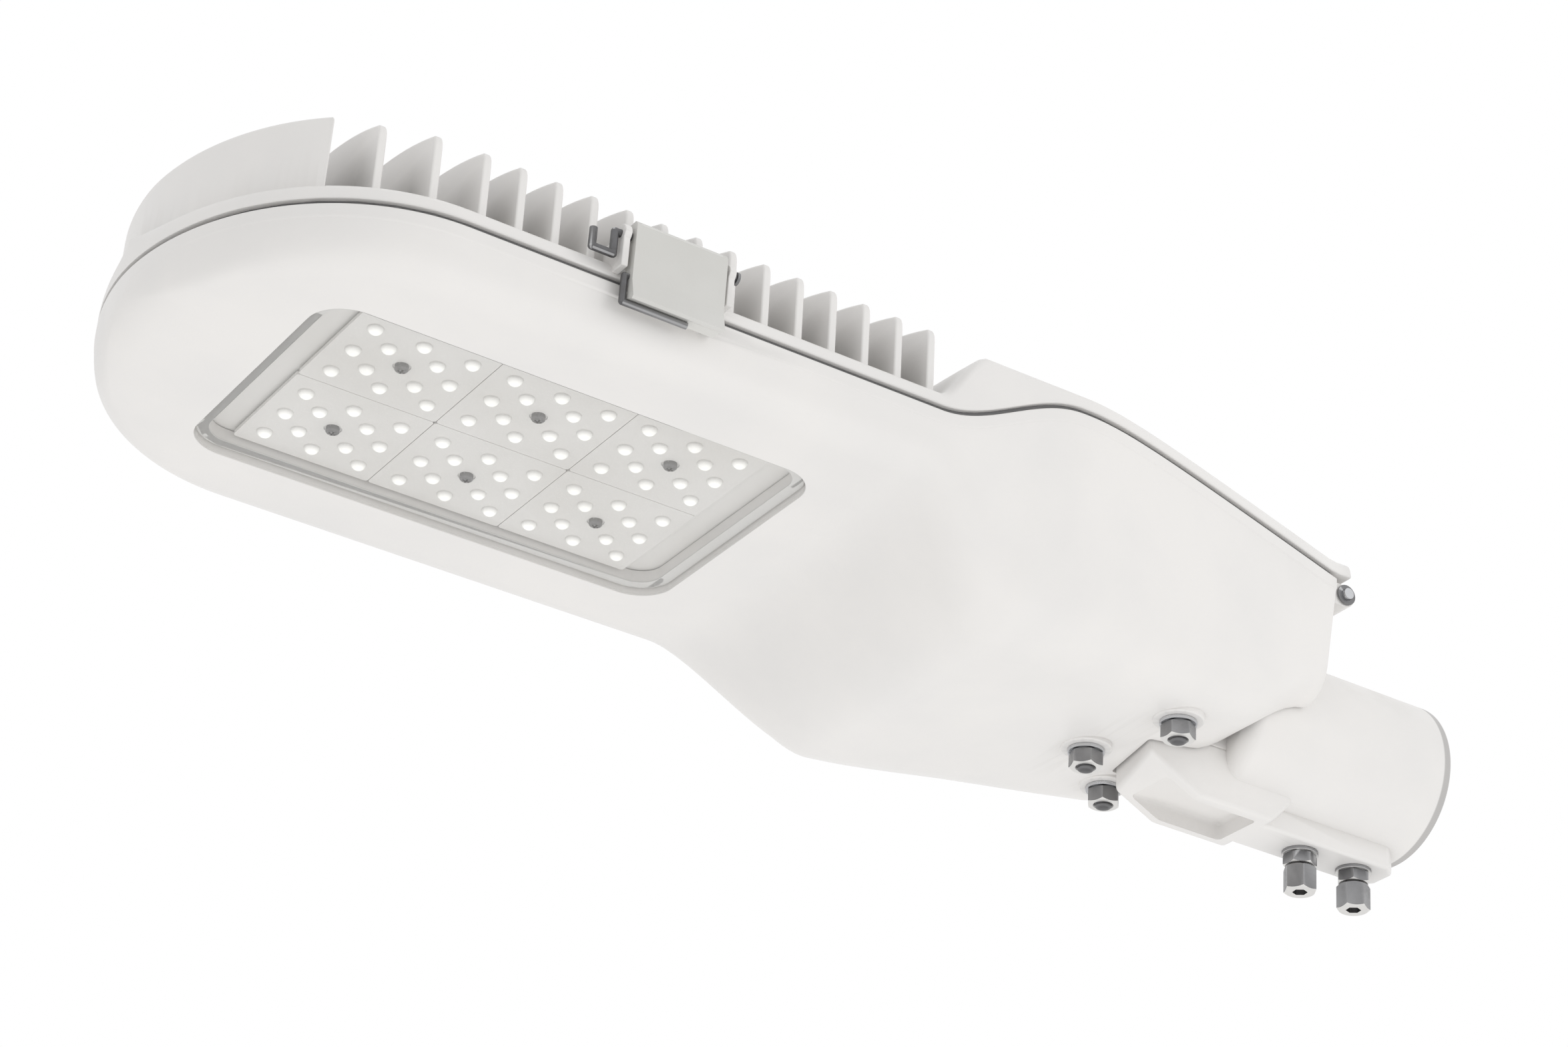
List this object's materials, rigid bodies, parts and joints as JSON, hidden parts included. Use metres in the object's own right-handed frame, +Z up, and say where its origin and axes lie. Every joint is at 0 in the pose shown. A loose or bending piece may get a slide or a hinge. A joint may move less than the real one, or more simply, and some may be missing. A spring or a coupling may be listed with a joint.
{
  "type": "street lantern",
  "caption": "Flat white LED street lantern with a finned cover, a side latch, a glazed light window and a clamp collar for a pole spigot.",
  "frame": {"origin": "on the axis of the pole collar, in the plane of its mouth", "axes": "+X along the collar's axis out of its mouth towards the pole arm, -X towards the lantern's nose; +Z up, the light window faces -Z; +Y to the far side"},
  "size_m": [0.6239, 0.2326, 0.1469],
  "materials": {
    "white_casting": "white powder coat, satin",
    "window": "tempered flat glass, gloss",
    "rubber": "moulded, matte",
    "grey_seal": "cured sealant, satin",
    "raw_aluminium": "extruded, satin",
    "board": "white solder mask",
    "phosphor": "chip coating",
    "lens_plastic": "clear moulded lens",
    "dark_steel": "darkened",
    "bright_steel": "zinc plated",
    "driver_case": "moulded",
    "blue_grey_plastic": "moulded",
    "cream_plastic": "moulded",
    "black_plastic": "moulded",
    "brass_stud": "turned"
  },
  "bodies": {
    "housing": {"lower_housing": "white_casting", "rim_gasket": "rubber", "window_glass": "window", "glass_seal": "grey_seal", "hinge_pin": "bright_steel", "hinge_rings": "dark_steel", "pole_fitting": "white_casting", "fitting_bolts": "dark_steel", "fitting_nuts": "dark_steel", "fitting_washers": "bright_steel", "clamp_screws": "dark_steel", "clamp_locknuts": "dark_steel", "gear_tray": "bright_steel", "tray_screws": "bright_steel", "led_driver": "driver_case", "driver_screws": "bright_steel", "surge_protector": "blue_grey_plastic", "terminal_block": "cream_plastic", "cable_gland": "black_plastic", "gland_nut": "black_plastic", "earth_screw": "brass_stud", "breather_plug": "black_plastic"},
    "cover": {"upper_housing": "white_casting", "led_carrier": "raw_aluminium", "led_board": "board", "led_chips": "phosphor", "lens_plate_1": "lens_plastic", "lens_plate_2": "lens_plastic", "lens_plate_3": "lens_plastic", "lens_plate_4": "lens_plastic", "lens_plate_5": "lens_plastic", "lens_plate_6": "lens_plastic", "lens_screws": "dark_steel", "carrier_screws": "bright_steel", "latch_pin": "dark_steel"},
    "latch": {"latch_clip": "white_casting", "latch_spring": "dark_steel"}
  },
  "joints": [
    {"name": "cover_hinge", "type": "hinge", "parent": "housing", "child": "cover", "pos_m": [-0.077, 0, 0.0486], "axis": [0, 1, 0], "range_deg": [0, 70]},
    {"name": "latch_hinge", "type": "hinge", "parent": "cover", "child": "latch", "pos_m": [-0.45, -0.115, 0.0455], "axis": [-1, 0, 0], "range_deg": [0, 60]}
  ]
}
